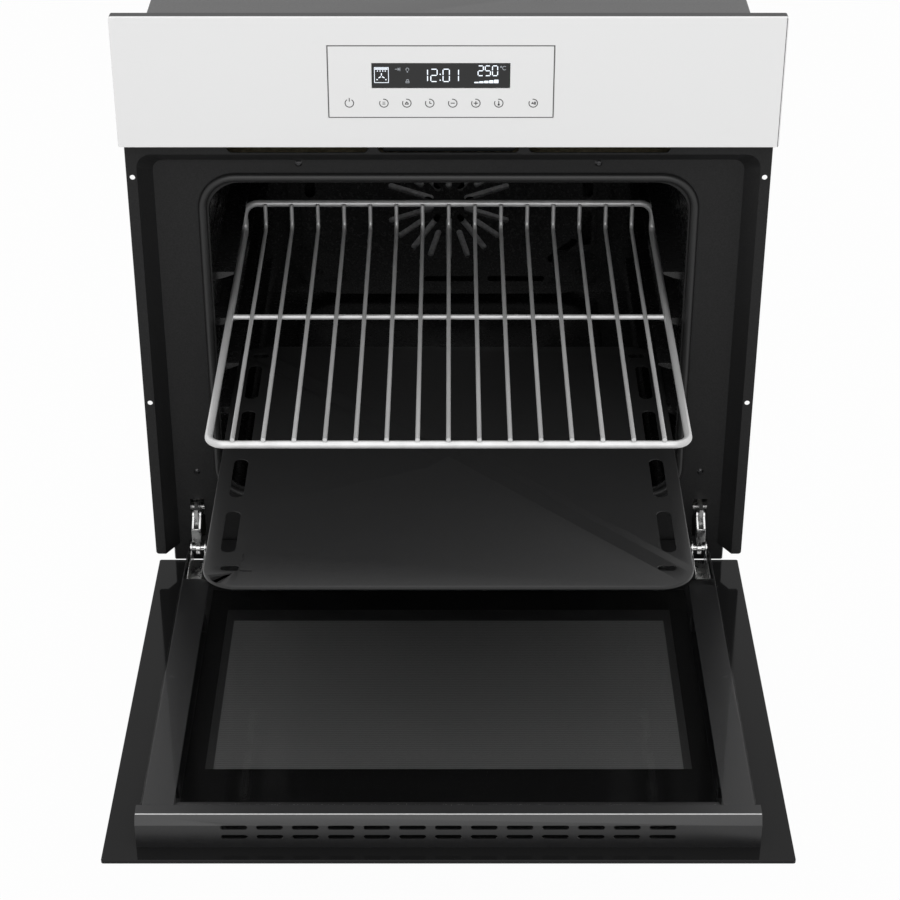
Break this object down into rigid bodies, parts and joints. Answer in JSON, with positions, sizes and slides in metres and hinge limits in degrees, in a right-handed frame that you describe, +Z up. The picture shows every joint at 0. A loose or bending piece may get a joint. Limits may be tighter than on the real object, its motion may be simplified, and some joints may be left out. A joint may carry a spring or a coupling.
{
  "type": "built-in wall oven",
  "caption": "Built-in electric wall oven with white glass control panel, drop-down glass door, wire rack, baking tray, convection fan and screw-on front flange.",
  "frame": {"origin": "on the underside of the base and the centre line, in the plane where the front flange lies against the cabinet: the front edge of the cabinet shelf", "axes": "+Z up, +Y into the cabinet, +X to the right of someone facing the oven"},
  "size_m": [0.595, 0.9916, 0.6423],
  "materials": {
    "galvanised_steel": "bright galvanised sheet",
    "grey_cover": "mid grey satin coating",
    "black_frame": "black satin enamel",
    "screw_steel": "dark zinc plating",
    "cavity_enamel": "glossy black enamel",
    "mineral_wool": "felted wool",
    "seal_rubber": "matt braided seal",
    "fan_metal": "mill finish",
    "motor_steel": "lacquered laminations",
    "heater_rod": "dark oxidised rod",
    "probe_steel": "polished",
    "ceramic": "glazed ceramic",
    "lamp_glass": "clear",
    "white_glass": "white back-painted gloss glass",
    "black_plastic": "fine satin",
    "display_glass": "dark gloss glass",
    "circuit_board": "lacquered board",
    "contact_metal": "plated",
    "hinge_steel": "bright zinc plating",
    "black_glass": "dark gloss glass",
    "clear_glass": "clear coated glass",
    "door_metal": "dark satin coating",
    "handle_steel": "brushed along its length",
    "rack_chrome": "polished chrome",
    "tray_enamel": "black enamel, fine satin"
  },
  "bodies": {
    "casing": {"base_plate": "galvanised_steel", "left_side_panel": "galvanised_steel", "right_side_panel": "galvanised_steel", "top_cover": "grey_cover", "rear_cover": "galvanised_steel", "front_frame": "black_frame", "front_screws": "screw_steel", "cavity_shell": "cavity_enamel", "left_shelf_rails": "cavity_enamel", "right_shelf_rails": "cavity_enamel", "insulation": "mineral_wool", "door_seal": "seal_rubber", "fan_baffle": "cavity_enamel", "baffle_screws": "screw_steel", "convection_motor": "motor_steel", "ring_element": "heater_rod", "grill_element": "heater_rod", "bottom_element": "heater_rod", "temperature_probe": "probe_steel", "lamp_holder": "ceramic", "lamp_bulb": "lamp_glass", "lamp_lens": "lamp_glass", "air_duct": "galvanised_steel", "cooling_fan_housing": "fan_metal", "cooling_fan_motor": "motor_steel", "safety_thermostat": "ceramic", "control_panel_glass": "white_glass", "control_panel_frame": "black_plastic", "control_unit_glass": "white_glass", "display_window": "display_glass", "display_board": "circuit_board", "touch_pads": "contact_metal", "power_board": "circuit_board", "terminal_block": "ceramic", "left_hinge_receiver": "hinge_steel", "right_hinge_receiver": "hinge_steel", "left_hinge_arm": "hinge_steel", "right_hinge_arm": "hinge_steel"},
    "door": {"door_outer_glass": "black_glass", "door_middle_glass": "clear_glass", "door_inner_glass": "clear_glass", "left_door_profile": "door_metal", "right_door_profile": "door_metal", "door_top_trim": "door_metal", "door_bottom_rail": "door_metal", "left_hinge_channel": "hinge_steel", "right_hinge_channel": "hinge_steel", "hinge_pins": "hinge_steel", "hinge_springs": "hinge_steel", "handle_bar": "handle_steel", "handle_posts": "handle_steel"},
    "rack": {"rack_frame": "rack_chrome", "rack_wires": "rack_chrome"},
    "tray": {"baking_tray": "tray_enamel"},
    "left_latch": {"left_hinge_latch": "hinge_steel"},
    "right_latch": {"right_hinge_latch": "hinge_steel"},
    "convection_wheel": {"convection_fan": "fan_metal"},
    "cooling_wheel": {"cooling_fan_drum": "fan_metal"}
  },
  "joints": [
    {"name": "door_hinge", "type": "hinge", "parent": "casing", "child": "door", "pos_m": [0, 0.0066, 0.0223], "axis": [-1, 0, 0], "range_deg": [0, 90]},
    {"name": "rack_slide", "type": "slide", "parent": "casing", "child": "rack", "axis": [0, 1, 0], "range_m": [0, 0.2471]},
    {"name": "tray_slide", "type": "slide", "parent": "casing", "child": "tray", "axis": [0, 1, 0], "range_m": [0, 0.3267]},
    {"name": "left_latch_pivot", "type": "hinge", "parent": "casing", "child": "left_latch", "pos_m": [-0.2535, 0.012, 0.0583], "axis": [-1, 0, 0], "range_deg": [0, 90]},
    {"name": "right_latch_pivot", "type": "hinge", "parent": "casing", "child": "right_latch", "pos_m": [0.2535, 0.012, 0.0583], "axis": [-1, 0, 0], "range_deg": [0, 90]},
    {"name": "convection_spin", "type": "hinge", "parent": "casing", "child": "convection_wheel", "pos_m": [0, 0.5, 0.181], "axis": [0, 1, 0], "continuous": true},
    {"name": "cooling_spin", "type": "hinge", "parent": "casing", "child": "cooling_wheel", "pos_m": [0, 0.262, 0.4935], "axis": [1, 0, 0], "continuous": true}
  ],
  "couplings": [
    {"joint": "rack_slide", "follows": "door_hinge", "m_per_rad": 0.15724},
    {"joint": "tray_slide", "follows": "door_hinge", "m_per_rad": 0.20792}
  ]
}
